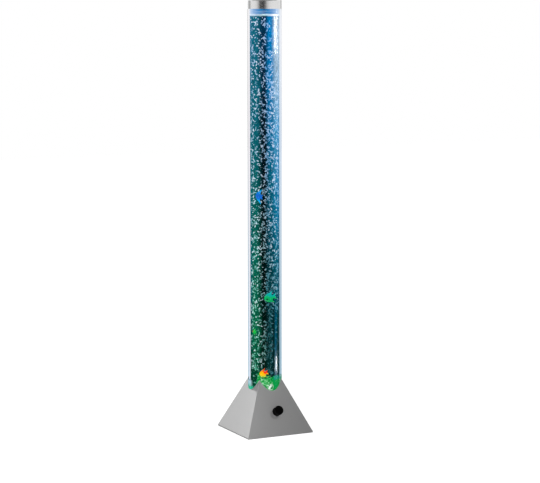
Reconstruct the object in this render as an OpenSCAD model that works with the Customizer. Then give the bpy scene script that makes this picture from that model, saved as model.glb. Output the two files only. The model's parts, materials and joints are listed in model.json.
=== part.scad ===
// Bubble tube floor lamp: a clear water column on a square pyramid base.
// Four plastic fish ride on the bubbles, lit from below by coloured LEDs.
// Millimetres, +Z up, origin on the floor at the middle of the base,
// and the control knob on the -Y face.

/* [Overall] */
// Height from the floor to the top of the cap
total_h = 1200; // [1000:10:1500]
// Width of the square base
base_w = 200; // [196:1:230]
// Height of the upright skirt round the base
skirt_h = 3.5; // [3.5:0.5:8]
// Height from the skirt to the point where the four faces would meet
apex_h = 219; // [212:1:228]
// Wall of the base shell, square to its faces
shell_wall = 3; // [2.5:0.1:3.4]

/* [Tube] */
// Outer diameter of the acrylic tube
tube_d = 94.5; // [90:0.5:95.5]
// Wall of the acrylic tube
tube_wall = 6; // [5:0.25:6.25]
// Thickness of the clear disc that closes the tube
floor_t = 5; // [4:0.5:7]
// Gap round the tube in its collar, socket and cap
tube_gap = 0.3; // [0.2:0.05:0.5]
// Depth of water left out below the tube's rim
air_gap = 38; // [28:1:60]

/* [Cap] */
// Height of the cap's skirt
cap_h = 24; // [20:1:40]
// Sheet of the cap
cap_t = 0.8; // [0.6:0.1:1.5]
// Radius of the cap's top edge
cap_edge_r = 2; // [1.5:0.1:2.4]
// Length of the plug inside the tube
cap_plug_h = 13; // [12:0.5:18]
// How far the tube is turned down under the cap
neck_in = 2; // [1.5:0.1:2.5]

/* [Base plate and feet] */
// Thickness of the base plate
plate_t = 4; // [4:0.25:5]
// Radius of a rubber foot
foot_r = 9; // [6:0.5:11]
// Height of a rubber foot
foot_h = 3; // [2.5:0.1:3.5]
// How far a foot stands below the base
foot_proud = 1.5; // [1:0.1:1.9]
// Distance of each foot in from the edges of the base
foot_inset = 34; // [32:1:38]
// Width of a cooling slot
slot_w = 3; // [2:0.5:3.5]

/* [Socket] */
// Height of the cup that the tube stands in
socket_h = 18; // [17:0.5:24]
// Wall of the cup
socket_wall = 3.7; // [2.5:0.1:4]
// Height of the shelf under the tube
shelf_t = 3; // [2.5:0.5:4]
// Radius of the light opening in the shelf
light_r = 34; // [30:0.5:35]
// Thickness of the rubber gasket
gasket_t = 1.5; // [1:0.1:2.5]

/* [Knob] */
// Height of the knob above the floor, at the face of the base
knob_z = 65; // [56:1:68]
// Diameter of the knob
knob_d = 25.5; // [22:0.5:29]
// How far the knob stands out from the face
knob_l = 20; // [18:0.5:24]
// Radius of the knob's outer edge
knob_edge_r = 1.6; // [0.5:0.1:3]
// Radius of the switch shaft
shaft_r = 3; // [2.5:0.1:3.2]

/* [Power inlet] */
// Height of the inlet above the floor, at the back face
jack_z = 22; // [18:1:40]
// Radius of the socket that takes the lead's plug
jack_bore_r = 2.85; // [2.5:0.05:3]
// Radius of the socket's middle pin
jack_pin_r = 1.05; // [0.8:0.05:1.25]

/* [Air pump] */
// Distance of the pump behind the middle
pump_y = 38; // [36:0.5:44]
// Height of the rubber pads under the pump
pad_h = 4; // [3:0.5:6]
// Radius of the arm's pivot pin
pin_r = 1.5; // [1:0.1:1.8]
// Gap between the magnet and the poles of the core
pole_gap = 1.5; // [1.2:0.1:2.5]
// Outer radius of the air hoses
hose_r = 3; // [2.5:0.1:3.4]
// Bend of the hose at the pump
hose_bend_r = 13; // [10:0.5:14]

/* [Fish] */
// Thickness of the fins
fin_t = 1.4; // [1:0.1:2]
// Length of the blue fish
blue_len = 27; // [22:0.5:29]
// Length of the teal fish
teal_len = 34; // [28:0.5:36]
// Length of the green fish
green_len = 19; // [16:0.5:21]
// Length of the orange fish
orange_len = 25; // [20:0.5:27]
// Height at which the blue fish floats
blue_z = 659; // [400:1:1100]
// Height at which the teal fish floats
teal_z = 378; // [330:1:600]
// Height at which the green fish floats
green_z = 281; // [240:1:320]
// Height at which the orange fish floats
orange_z = 165; // [140:1:200]

/* [Hidden] */
$fn = 96;

// Gap between pieces that move on each other, and past a cut
gap = 0.3;
slip = 0.05;
cut = 1;

// Pyramid
base_half = base_w / 2;
base_z = foot_proud;
apex_z = base_z + skirt_h + apex_h;
slope = apex_h / base_half;
face_angle = atan(slope);
// Half width of the pyramid at height z, at a depth t inside its faces
function half_at(z, t = 0) = (apex_z - t / cos(face_angle) - z) / slope;
// Points on the line square to the front or back face at height z, out from the face
function on_front_point(z, out) = [0, -half_at(z) - out * sin(face_angle), z + out * cos(face_angle)];
function on_back_point(z, out) = [0, half_at(z) + out * sin(face_angle), z + out * cos(face_angle)];
// Height at which the pyramid is w wide each way, at a depth t inside its faces
function z_at(w, t = 0) = apex_z - t / cos(face_angle) - slope * w;

// Tube and socket, from the top of the socket down
tube_r = tube_d / 2;
bore_r = tube_r + tube_gap;
water_r = tube_r - tube_wall;
socket_r = bore_r + socket_wall;
socket_top = z_at(socket_r + gap, shell_wall);
socket_z = socket_top - socket_h;
gasket_z = socket_z + shelf_t;
floor_z = gasket_z + gasket_t;
tube_z = floor_z + floor_t;
tube_top = total_h - cap_t - gap;
water_z = tube_top - air_gap;

// Collar of the shell round the tube
collar_wall = 3;

// Ears of the socket and the bosses that they screw to
ear_t = 4;
ear_r = 6;
ear_w = 10;
ear_top = gasket_z + 3;
boss_r = 4.5;
boss_pos = (socket_r + 13) / sqrt(2);

// Screws: shank radius, head radius, head height and the hole for the shank
screw_r = 1.4;
head_r = 2.8;
head_h = 1.8;
hole_r = screw_r + slip;
thread_l = 10;

// Base plate
plate_top = base_z + plate_t;
plate_half = half_at(plate_top, shell_wall) - gap;
foot_pos = base_half - foot_inset;
corner_inset = 20;
corner_pos = base_half - corner_inset;
head_recess = head_h + 0.2;
corner_boss_r = 5;
slot_l = 34;
slot_count = 5;
slot_pitch = 8;
slot_x = 60;

// Light board
led_board_t = 1.6;
led_post_l = 4;
led_post_pos = light_r + 4;
led_board_r = led_post_pos + 4;
led_board_z = socket_z - led_post_l - led_board_t;
led_h = 1.8;
led_w = 5;
led_ring_r = [15, 27];
led_ring_n = [6, 12];

// Air nozzle through the tube's floor
stem_r = 4;
stem_z = led_board_z - 2;
barb_r = 1.9;
barb_l = 9;
air_r = 1;
flange_r = 9;
flange_t = 2.5;
nut_h = 4;
stone_z = tube_z + flange_t;
stone_r = 20;
stone_h = 10;
spigot_h = 6;
hose_bore_r = barb_r + 0.1;

// Check valve, midway down the hose
valve_r = 6.5;
valve_l = 11;
hose_gap = 22;
valve_z = stem_z - hose_gap - valve_l;

// Pump, on a tray carried by four rubber pads
tray_t = 3;
tray_z = plate_top + pad_h;
tray_top = tray_z + tray_t;
tray_x0 = -60;
tray_x1 = 44;
tray_half_y = 18;
tray_inset = 5;
pad_r = 5;
block_x0 = -12;
block_x1 = 20;
block_half_y = 12;
block_h = 10;
block_top = tray_top + block_h;
barb_z = tray_top + block_h / 2;
bellows_x = 4;
bellows_r = 9;
bellows_h = 8;
bellows_wall = 1;
arm_z = block_top + bellows_h + gap;
arm_t = 2.6;
arm_w = 6;
arm_axis_z = arm_z + arm_t / 2;
pivot_x = 34;
eye_r = 4;
cheek_w = 8;
cheek_t = 3;
cheek_gap = 0.4;
eye_half_y = 4.7;
magnet_x = -20;
magnet_l = 8;
magnet_half_y = 6;
magnet_half_h = 10;
core_half_y = 6;
core_leg = 8;
core_x1 = magnet_x - magnet_l - pole_gap;
core_l = 22;
core_x0 = core_x1 - core_l;
core_h = 2 * (arm_axis_z - tray_top);
coil_t = 6;

// Control board
board_half_x = 33;
board_half_y = 21;
board_y = -45;
board_z = plate_top + 6.5;
board_t = 1.6;
board_top = board_z + board_t;
board_inset = 4;
terminal = [10, 8, 10.4];
terminal_top = board_top + terminal[2];
terminal_x = [14, 28];
terminal_y = board_y + 3;
post_r = 3;

// Switch, seen from the face: w runs outward, and the shell lies between -shell_wall and 0
switch_w = 15;
switch_h = 8;
bushing_r = shaft_r + 0.5;
bushing_l = 4;
shaft_l = 16;
flat_depth = 1;
knob_hollow_r = 7;
knob_hollow_h = bushing_l + 0.6;

// Power inlet, seen from the back face
jack_r = 5.4;
jack_flange_r = 7.5;
jack_flange_t = 1.6;
jack_l = 13;
jack_bore_l = 9.6;
jack_nut_h = 2.5;

// Cap
neck_r = tube_r - neck_in;
cap_bore_r = neck_r + tube_gap;
cap_r = cap_bore_r + cap_t;
cap_z = total_h - cap_h;
plug_r = water_r - 2;
plug_wall = 2.5;
pad_angle = 60;
pad_band = 6;

// Fish: where each one's lane stands in the tube, clear of the others, and its heading
blue_lane = water_r * [-0.244, 0.351];
blue_turn = 108;
teal_lane = water_r * [0.208, -0.421];
teal_turn = 160;
green_lane = water_r * [-0.803, -0.056];
green_turn = 94;
orange_lane = water_r * [-0.349, -0.541];
orange_turn = 168;

wire_r = 0.9;
wire_sides = 8;
wire_steps = 2;
// Each lead's end stands this far off what it is soldered to
lead_gap = 0.3;
lead_drop = terminal_top + lead_gap;
lead_rise = terminal_top + 4;
// Routes of the leads: their ends are tied to the pieces, and the points between are chosen by hand
jack_lead = [on_back_point(jack_z, -jack_l - 0.7), on_back_point(jack_z, -jack_l - 4.5), [12, 68, 9],
    [40, 63, 8], [54, 46, 8], [55, 20, 8], [50, -12, 9], [40, -30, 16], [terminal_x[1] + 5, -38, lead_rise],
    [terminal_x[1], terminal_y, lead_rise], [terminal_x[1], terminal_y, lead_drop]];
coil_lead_x = core_x0 + core_leg / 2;
coil_lead_y = pump_y - core_half_y - coil_t + 0.6;
pump_lead = [[coil_lead_x, coil_lead_y, arm_axis_z], [coil_lead_x, coil_lead_y - 4.6, arm_axis_z - 0.6],
    [-48, 8, 22], [-46, -8, 16], [-42, -22, 20], [-terminal_x[1] - 6, -36, lead_rise],
    [-terminal_x[1], terminal_y, lead_rise], [-terminal_x[1], terminal_y, lead_drop]];
light_lead = [[-14, -26, led_board_z - 0.4], [-14, -26, led_board_z - 6], [-19, -34, 50], [-17, -41, 34],
    [-terminal_x[0], terminal_y, lead_rise], [-terminal_x[0], terminal_y, lead_drop]];
tag_end = -shell_wall - switch_h - 4;
switch_lead = [on_front_point(knob_z, tag_end - 0.6), on_front_point(knob_z, tag_end - 3.7), [6, -50, 41],
    [13, -43, 33], [terminal_x[0], terminal_y, lead_rise], [terminal_x[0], terminal_y, lead_drop]];

silver = [0.69, 0.70, 0.71];
black = [0.07, 0.07, 0.075];
dark_grey = [0.2, 0.2, 0.21];
steel = [0.62, 0.63, 0.65];
board_green = [0.05, 0.3, 0.16];
clear_blue = [0.78, 0.9, 0.96, 0.35];
soft_clear = [0.88, 0.9, 0.9, 0.8];
copper = [0.72, 0.36, 0.16];

// Solid pyramid on its skirt, with its walls moved in by t
module pyramid(t = 0, low = base_z) {
    half = base_half - t;
    top = z_at(0, t);
    knee = z_at(half, t);
    outline = [[-half, low], [half, low], [half, knee], [0, top], [-half, knee]];
    intersection() {
        rotate([90, 0, 0])
            linear_extrude(2 * base_half + 2 * cut, center = true)
                polygon(outline);
        rotate([90, 0, 90])
            linear_extrude(2 * base_half + 2 * cut, center = true)
                polygon(outline);
    }
}

module ring(r, wall_r, h) {
    difference() {
        cylinder(r = r, h = h);
        translate([0, 0, -cut])
            cylinder(r = wall_r, h = h + 2 * cut);
    }
}

// Puts its children at (x, y) in all four quarters
module four_ways(x, y = undef) {
    y_pos = is_undef(y) ? x : y;
    for (sx = [-1, 1])
        for (sy = [-1, 1])
            translate([sx * x, sy * y_pos, 0])
                children();
}

// Pan-head screw whose head sits under z = 0 and whose shank points up
module screw(l) {
    translate([0, 0, -head_h])
        cylinder(r = head_r, h = head_h);
    cylinder(r = screw_r, h = l);
}

// Hex nut, r across its corners
module hex_nut(r, inner_r, h) {
    difference() {
        cylinder(r = r, h = h, $fn = 6);
        translate([0, 0, -cut])
            cylinder(r = inner_r, h = h + 2 * cut);
    }
}

// Hose barb with three ridges, standing on z = 0
module barb(l) {
    ridges = 3;
    pitch = l / ridges;
    for (i = [0:ridges - 1])
        translate([0, 0, i * pitch])
            cylinder(r1 = barb_r, r2 = barb_r - 0.35, h = pitch);
}

// Frames on the sloping faces: +Z runs outward, square to the face
module on_front(z) {
    translate([0, -half_at(z), z])
        rotate([face_angle, 0, 0])
            children();
}

module on_back(z) {
    rotate([0, 0, 180])
        on_front(z)
            children();
}

module base_shell() {
    color(silver)
        difference() {
            union() {
                difference() {
                    pyramid();
                    pyramid(shell_wall, base_z - cut);
                }
                intersection() {
                    pyramid();
                    shell_bosses();
                }
            }
            translate([0, 0, base_z - cut])
                cylinder(r = bore_r, h = apex_z);
            four_ways(boss_pos)
                translate([0, 0, ear_top - cut])
                    cylinder(r = hole_r, h = thread_l + cut);
            four_ways(corner_pos)
                translate([0, 0, plate_top - cut])
                    cylinder(r = hole_r, h = thread_l + cut);
            on_front(knob_z)
                translate([0, 0, -2 * shell_wall])
                    cylinder(r = bushing_r + slip, h = 4 * shell_wall);
            on_back(jack_z)
                translate([0, 0, -2 * shell_wall])
                    cylinder(r = jack_r + slip, h = 4 * shell_wall);
        }
}

// Collar round the tube, bosses for the socket and bosses for the base plate
module shell_bosses() {
    translate([0, 0, socket_top + gap])
        cylinder(r = bore_r + collar_wall, h = apex_z);
    four_ways(boss_pos)
        translate([0, 0, ear_top])
            cylinder(r = boss_r, h = apex_z);
    four_ways(corner_pos)
        translate([0, 0, plate_top])
            cylinder(r = corner_boss_r, h = apex_z);
}

module base_plate() {
    color(dark_grey)
        difference() {
            union() {
                translate([-plate_half, -plate_half, base_z])
                    cube([2 * plate_half, 2 * plate_half, plate_t]);
                board_places(plate_top)
                    cylinder(r = post_r, h = board_z - plate_top);
            }
            four_ways(foot_pos)
                translate([0, 0, base_z - cut])
                    cylinder(r = foot_r + slip, h = foot_h - foot_proud + cut);
            four_ways(corner_pos)
                translate([0, 0, base_z - cut]) {
                    cylinder(r = hole_r, h = plate_t + 2 * cut);
                    cylinder(r = head_r + gap, h = head_recess + cut);
                }
            pad_places(plate_top - 3)
                cylinder(r = hole_r, h = 3 + cut);
            board_places(board_z - 5)
                cylinder(r = hole_r, h = 5 + cut);
            for (side = [-1, 1])
                for (i = [0:slot_count - 1])
                    translate([side * slot_x, (i - (slot_count - 1) / 2) * slot_pitch, base_z])
                        cooling_slot();
        }
}

// Slot with round ends, along X
module cooling_slot() {
    straight = slot_l - slot_w;
    translate([0, 0, -cut]) {
        translate([-straight / 2, -slot_w / 2, 0])
            cube([straight, slot_w, plate_t + 2 * cut]);
        for (end = [-1, 1])
            translate([end * straight / 2, 0, 0])
                cylinder(r = slot_w / 2, h = plate_t + 2 * cut);
    }
}

module pad_places(z) {
    for (x = [tray_x0 + tray_inset, tray_x1 - tray_inset])
        for (side = [-1, 1])
            translate([x, pump_y + side * (tray_half_y - tray_inset), z])
                children();
}

module board_places(z) {
    for (sx = [-1, 1])
        for (sy = [-1, 1])
            translate([sx * (board_half_x - board_inset),
                board_y + sy * (board_half_y - board_inset), z])
                children();
}

module rubber_feet() {
    color(black)
        four_ways(foot_pos)
            cylinder(r = foot_r, h = foot_h);
}

module base_screws() {
    color(steel)
        four_ways(corner_pos)
            translate([0, 0, base_z + head_recess])
                screw(plate_t - head_recess + thread_l - cut);
}

module tube_socket() {
    color(black)
        difference() {
            union() {
                translate([0, 0, socket_z])
                    cylinder(r = socket_r, h = socket_h);
                four_ways(boss_pos)
                    translate([0, 0, ear_top - ear_t])
                        cylinder(r = ear_r, h = ear_t);
                for (angle = [45, -45])
                    rotate([0, 0, angle])
                        translate([-boss_pos * sqrt(2), -ear_w / 2, ear_top - ear_t])
                            cube([2 * boss_pos * sqrt(2), ear_w, ear_t]);
                led_places(socket_z - led_post_l)
                    cylinder(r = post_r, h = led_post_l + cut);
            }
            translate([0, 0, gasket_z])
                cylinder(r = bore_r, h = socket_h);
            translate([0, 0, socket_z - cut])
                cylinder(r = light_r, h = socket_h);
            four_ways(boss_pos)
                translate([0, 0, ear_top - ear_t - cut])
                    cylinder(r = hole_r, h = ear_t + 2 * cut);
            led_places(socket_z - led_post_l - cut)
                cylinder(r = hole_r, h = led_post_l + 2 * cut);
        }
}

module led_places(z) {
    for (i = [0:2])
        rotate([0, 0, i * 120 + 30])
            translate([led_post_pos, 0, z])
                children();
}

module socket_screws() {
    color(steel)
        four_ways(boss_pos)
            translate([0, 0, ear_top - ear_t])
                screw(ear_t + thread_l - cut);
}

module socket_gasket() {
    color(black)
        translate([0, 0, gasket_z])
            ring(tube_r, light_r, gasket_t);
}

module tube_floor() {
    color(clear_blue)
        translate([0, 0, floor_z])
            ring(tube_r, stem_r + slip, floor_t);
}

module acrylic_tube() {
    color(clear_blue)
        translate([0, 0, tube_z])
            difference() {
                union() {
                    cylinder(r = tube_r, h = cap_z - gap - tube_z);
                    cylinder(r = neck_r, h = tube_top - tube_z);
                }
                translate([0, 0, -cut])
                    cylinder(r = water_r, h = tube_top - tube_z + 2 * cut);
            }
}

module air_nozzle() {
    color("white")
        difference() {
            union() {
                translate([0, 0, tube_z])
                    cylinder(r = flange_r, h = flange_t);
                translate([0, 0, stem_z])
                    cylinder(r = stem_r, h = tube_z - stem_z + cut);
                translate([0, 0, stem_z])
                    mirror([0, 0, 1])
                        barb(barb_l);
                translate([0, 0, stone_z])
                    cylinder(r = 3, h = spigot_h);
            }
            translate([0, 0, stem_z - barb_l - cut])
                cylinder(r = air_r, h = total_h);
        }
}

module nozzle_nut() {
    color("white")
        translate([0, 0, floor_z - nut_h])
            hex_nut(8, stem_r + slip, nut_h);
}

module air_stone() {
    color([0.75, 0.76, 0.72])
        difference() {
            translate([0, 0, stone_z])
                rotate_extrude()
                    polygon([[0, 0], [stone_r - 1, 0], [stone_r, 1], [stone_r, stone_h - 2],
                        [stone_r - 2, stone_h], [0, stone_h]]);
            translate([0, 0, stone_z - cut])
                cylinder(r = 3 + slip, h = spigot_h + cut + slip);
        }
}

module nozzle_hose() {
    color(soft_clear)
        translate([0, 0, valve_z + valve_l])
            ring(hose_r, hose_bore_r, stem_z - valve_z - valve_l);
}

module check_valve() {
    color(soft_clear)
        difference() {
            translate([0, 0, valve_z]) {
                cylinder(r = valve_r - 1, h = valve_l);
                translate([0, 0, valve_l / 2 - 1.5])
                    cylinder(r = valve_r, h = 3);
                translate([0, 0, valve_l])
                    barb(barb_l);
                mirror([0, 0, 1])
                    barb(barb_l);
            }
            translate([0, 0, valve_z - barb_l - cut])
                cylinder(r = air_r, h = valve_l + 2 * barb_l + 2 * cut);
        }
}

// Hose from the check valve down and round to the pump's barb
module pump_hose() {
    bend_z = barb_z + hose_bend_r;
    block_y = pump_y - block_half_y;
    color(soft_clear) {
        difference() {
            union() {
                translate([0, 0, bend_z])
                    cylinder(r = hose_r, h = valve_z - bend_z);
                hose_bend(hose_r);
                translate([0, block_y, barb_z])
                    rotate([90, 0, 0])
                        cylinder(r = hose_r, h = block_y - hose_bend_r);
            }
            translate([0, 0, bend_z])
                cylinder(r = hose_bore_r, h = valve_z);
            hose_bend(hose_bore_r);
            translate([0, block_y + cut, barb_z])
                rotate([90, 0, 0])
                    cylinder(r = hose_bore_r, h = block_y + cut - hose_bend_r);
        }
    }
}

module hose_bend(r) {
    translate([0, hose_bend_r, barb_z + hose_bend_r])
        rotate([-90, 0, 0])
            rotate([0, 90, 0])
                rotate_extrude(angle = 90)
                    translate([hose_bend_r, 0])
                        circle(r = r);
}

module pump_tray() {
    color(black)
        translate([0, pump_y, 0])
            difference() {
                union() {
                    translate([tray_x0, -tray_half_y, tray_z])
                        cube([tray_x1 - tray_x0, 2 * tray_half_y, tray_t]);
                    for (side = [-1, 1])
                        pump_cheek(side);
                }
                translate([pivot_x, 0, arm_axis_z])
                    rotate([90, 0, 0])
                        cylinder(r = pin_r + slip, h = 2 * tray_half_y, center = true);
                translate([0, -pump_y, 0])
                    pad_places(tray_z - cut)
                        cylinder(r = hole_r, h = tray_t + 2 * cut);
            }
}

// One of the two cheeks that hold the arm's pivot pin
module pump_cheek(side) {
    inner = eye_half_y + cheek_gap;
    y0 = side > 0 ? inner : -inner - cheek_t;
    translate([pivot_x - cheek_w / 2, y0, tray_top - cut])
        cube([cheek_w, cheek_t, arm_axis_z - tray_top + cut]);
    translate([pivot_x, y0 + cheek_t, arm_axis_z])
        rotate([90, 0, 0])
            cylinder(r = cheek_w / 2, h = cheek_t);
}

module pump_pads() {
    color(dark_grey)
        pad_places(plate_top)
            ring(pad_r, screw_r + gap, pad_h);
}

module pump_screws() {
    shank = tray_t + pad_h + 2.5;
    color(steel)
        pad_places(tray_top)
            mirror([0, 0, 1])
                screw(shank);
}

module valve_block() {
    color(dark_grey)
        translate([0, pump_y, 0])
            difference() {
                union() {
                    translate([block_x0, -block_half_y, tray_top])
                        cube([block_x1 - block_x0, 2 * block_half_y, block_h]);
                    translate([0, -block_half_y, barb_z])
                        rotate([90, 0, 0])
                            barb(barb_l);
                }
                translate([bellows_x, 0, barb_z])
                    cylinder(r = bellows_r - 3, h = block_h);
                translate([0, 0, barb_z])
                    rotate([90, 0, 0])
                        cylinder(r = air_r, h = block_half_y + barb_l + cut);
            }
}

// Rubber bellows, closed at the top, with two folds
module pump_bellows() {
    fold = bellows_h / 4;
    outer = [for (i = [0:4]) [bellows_r - (i % 2) * 2, i * fold]];
    inner = [for (i = [4:-1:0]) [bellows_r - (i % 2) * 2 - bellows_wall, i * fold]];
    color(black)
        translate([bellows_x, pump_y, block_top]) {
            rotate_extrude()
                polygon(concat(outer, inner));
            translate([0, 0, bellows_h - bellows_wall])
                cylinder(r = bellows_r, h = bellows_wall);
        }
}

// Laminated core, open towards the magnet
module pump_core() {
    color(steel)
        translate([0, pump_y + core_half_y, tray_top])
            rotate([90, 0, 0])
                linear_extrude(2 * core_half_y)
                    difference() {
                        translate([core_x0, 0])
                            square([core_l, core_h]);
                        translate([core_x0 + core_leg, core_leg])
                            square([core_l, core_h - 2 * core_leg]);
                    }
}

// Bobbin with its flanges and the winding between them
module pump_coil() {
    window_h = core_h - 2 * core_leg - 2 * gap;
    flange = 1.5;
    color(copper)
        translate([core_x0 + core_leg / 2, pump_y, tray_top + core_leg + gap])
            difference() {
                union() {
                    for (z = [0, window_h - flange])
                        translate([0, 0, z])
                            coil_block(coil_t, flange);
                    coil_block(coil_t - 1, window_h);
                }
                translate([-core_leg / 2 - slip, -core_half_y - slip, -cut])
                    cube([core_leg + 2 * slip, 2 * core_half_y + 2 * slip, window_h + 2 * cut]);
            }
}

// Block round the core's back leg, t thick all round, with round corners
module coil_block(t, h) {
    for (sx = [-1, 1])
        for (sy = [-1, 1])
            translate([sx * core_leg / 2, sy * core_half_y, 0])
                cylinder(r = t, h = h);
    translate([-core_leg / 2 - t, -core_half_y, 0])
        cube([core_leg + 2 * t, 2 * core_half_y, h]);
    translate([-core_leg / 2, -core_half_y - t, 0])
        cube([core_leg, 2 * core_half_y + 2 * t, h]);
}

module pivot_pin() {
    half = eye_half_y + cheek_gap + cheek_t + 0.5;
    color(steel)
        translate([pivot_x, pump_y, arm_axis_z])
            rotate([90, 0, 0])
                cylinder(r = pin_r, h = 2 * half, center = true);
}

module swing_arm() {
    web_t = 2;
    color("white")
        translate([0, pump_y, 0])
            difference() {
                union() {
                    translate([magnet_x, -arm_w / 2, arm_z])
                        cube([pivot_x - magnet_x, arm_w, arm_t]);
                    translate([magnet_x, -magnet_half_y, arm_axis_z - magnet_half_h])
                        cube([web_t, 2 * magnet_half_y, 2 * magnet_half_h]);
                    translate([pivot_x, 0, arm_axis_z])
                        rotate([90, 0, 0])
                            cylinder(r = eye_r, h = 2 * eye_half_y, center = true);
                }
                translate([pivot_x, 0, arm_axis_z])
                    rotate([90, 0, 0])
                        cylinder(r = pin_r + slip, h = 4 * eye_half_y, center = true);
            }
}

module arm_magnet() {
    color(dark_grey)
        translate([magnet_x - magnet_l, pump_y - magnet_half_y, arm_axis_z - magnet_half_h])
            cube([magnet_l, 2 * magnet_half_y, 2 * magnet_half_h]);
}

module led_board() {
    color("white")
        translate([0, 0, led_board_z])
            difference() {
                cylinder(r = led_board_r, h = led_board_t);
                translate([0, 0, -cut])
                    cylinder(r = stem_r + 2, h = led_board_t + 2 * cut);
                translate([0, 0, -led_board_z])
                    led_places(led_board_z - cut)
                        cylinder(r = hole_r, h = led_board_t + 2 * cut);
            }
}

// Square LED packages in two rings round the nozzle
module led_chips() {
    color([0.95, 0.93, 0.7])
        for (row = [0:len(led_ring_r) - 1])
            for (i = [0:led_ring_n[row] - 1])
                rotate([0, 0, i * 360 / led_ring_n[row]])
                    translate([led_ring_r[row] - led_w / 2, -led_w / 2, led_board_z + led_board_t])
                        cube([led_w, led_w, led_h]);
}

module led_screws() {
    color(steel)
        led_places(led_board_z)
            screw(led_board_t + led_post_l - 0.5);
}

module control_board() {
    color(board_green)
        difference() {
            translate([-board_half_x, board_y - board_half_y, board_z])
                cube([2 * board_half_x, 2 * board_half_y, board_t]);
            board_places(board_z - cut)
                cylinder(r = hole_r, h = board_t + 2 * cut);
        }
}

// Terminal blocks, controller, capacitors and driver transistors
module board_parts() {
    color(dark_grey)
        translate([0, board_y, board_top]) {
            for (side = [-1, 1])
                for (x = terminal_x)
                    translate([side * x - terminal[0] / 2, terminal_y - board_y - terminal[1] / 2, 0])
                        cube(terminal);
            translate([-8, -15, 0])
                cube([16, 8, 2]);
            translate([-4, 8, 0])
                cube([8, 8, 7]);
            for (x = [-14, 14])
                translate([x, 13, 0])
                    cylinder(r = 4, h = 11);
            for (x = [-18, 18])
                translate([x - 3, -17, 0])
                    cube([6, 3, 9]);
        }
}

module board_screws() {
    color(steel)
        board_places(board_top)
            mirror([0, 0, 1])
                screw(board_t + 4);
}

// Switch body behind the wall, with its bushing through it
module rotary_switch() {
    color(dark_grey)
        on_front(knob_z)
            difference() {
                union() {
                    translate([-switch_w / 2, -switch_w / 2, -shell_wall - switch_h])
                        cube([switch_w, switch_w, switch_h]);
                    translate([0, 0, -shell_wall - cut])
                        cylinder(r = bushing_r, h = shell_wall + bushing_l + cut);
                    for (x = [-4, 0, 4])
                        translate([x - 0.5, -1.5, -shell_wall - switch_h - 4])
                            cube([1, 3, 4 + cut]);
                }
                translate([0, 0, -shell_wall - switch_h + 2])
                    cylinder(r = shaft_r + slip, h = 2 * knob_l);
            }
}

module switch_nut() {
    color(steel)
        on_front(knob_z)
            hex_nut(6.2, bushing_r + slip, 2.4);
}

// Shaft with a flat for the knob
module switch_shaft() {
    color(steel)
        on_front(knob_z)
            difference() {
                translate([0, 0, -shell_wall - switch_h + 2 + gap])
                    cylinder(r = shaft_r, h = shell_wall + switch_h - 2 - gap + shaft_l);
                translate([shaft_r - flat_depth, -shaft_r, knob_hollow_h])
                    cube([shaft_r, 2 * shaft_r, knob_l]);
            }
}

// Round knob with a softened outer edge, a hollow over the nut and a bore with a flat
module control_knob() {
    r = knob_d / 2;
    root_r = r - 0.5;
    e = knob_edge_r;
    arc = [for (a = [0:15:90]) [r - e + e * cos(a), knob_l - e + e * sin(a)]];
    color(black)
        on_front(knob_z)
            difference() {
                rotate_extrude()
                    polygon(concat([[0, gap], [root_r, gap], [r, gap + 0.5]], arc, [[0, knob_l]]));
                translate([0, 0, -cut])
                    cylinder(r = knob_hollow_r, h = knob_hollow_h + cut);
                difference() {
                    cylinder(r = shaft_r + slip, h = shaft_l + gap);
                    translate([shaft_r + slip - flat_depth, -knob_d, knob_hollow_h])
                        cube([knob_d, 2 * knob_d, knob_l]);
                }
            }
}

// Panel socket for the lead of a 12 V power supply
module dc_jack() {
    color(black)
        on_back(jack_z) {
            difference() {
                union() {
                    cylinder(r = jack_flange_r, h = jack_flange_t);
                    translate([0, 0, -jack_l])
                        cylinder(r = jack_r, h = jack_l + cut);
                    for (x = [-2.5, 2.5])
                        translate([x - 0.5, -1.5, -jack_l - 3])
                            cube([1, 3, 3 + cut]);
                }
                translate([0, 0, jack_flange_t - jack_bore_l])
                    cylinder(r = jack_bore_r, h = jack_bore_l + cut);
            }
            translate([0, 0, -jack_bore_l])
                cylinder(r = jack_pin_r, h = jack_bore_l);
        }
}

module jack_nut() {
    color(steel)
        on_back(jack_z)
            translate([0, 0, -shell_wall - jack_nut_h])
                hex_nut(8.5, jack_r + slip, jack_nut_h);
}

// Point between p[i] and p[i + 1] on a smooth curve through all the points
function route_point(p, i, t) =
    let (
        a = p[max(i - 1, 0)],
        b = p[i],
        c = p[i + 1],
        d = p[min(i + 2, len(p) - 1)]
    )
    0.5 * (2 * b + (c - a) * t + (2 * a - 5 * b + 4 * c - d) * t * t
        + (3 * b - a - 3 * c + d) * t * t * t);

function smooth_route(p, steps) = concat(
    [for (i = [0:len(p) - 2]) for (s = [0:steps - 1]) route_point(p, i, s / steps)],
    [p[len(p) - 1]]);

function unit(v) = v / norm(v);

function heading(p, i) = unit(p[min(i + 1, len(p) - 1)] - p[max(i - 1, 0)]);

// Side vector of each ring, carried along the route so that the tube doesn't twist
function side_vectors(p, i, last) =
    i == len(p) ? [] :
    let (t = heading(p, i), side = unit(last - (last * t) * t))
    concat([side], side_vectors(p, i + 1, side));

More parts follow.
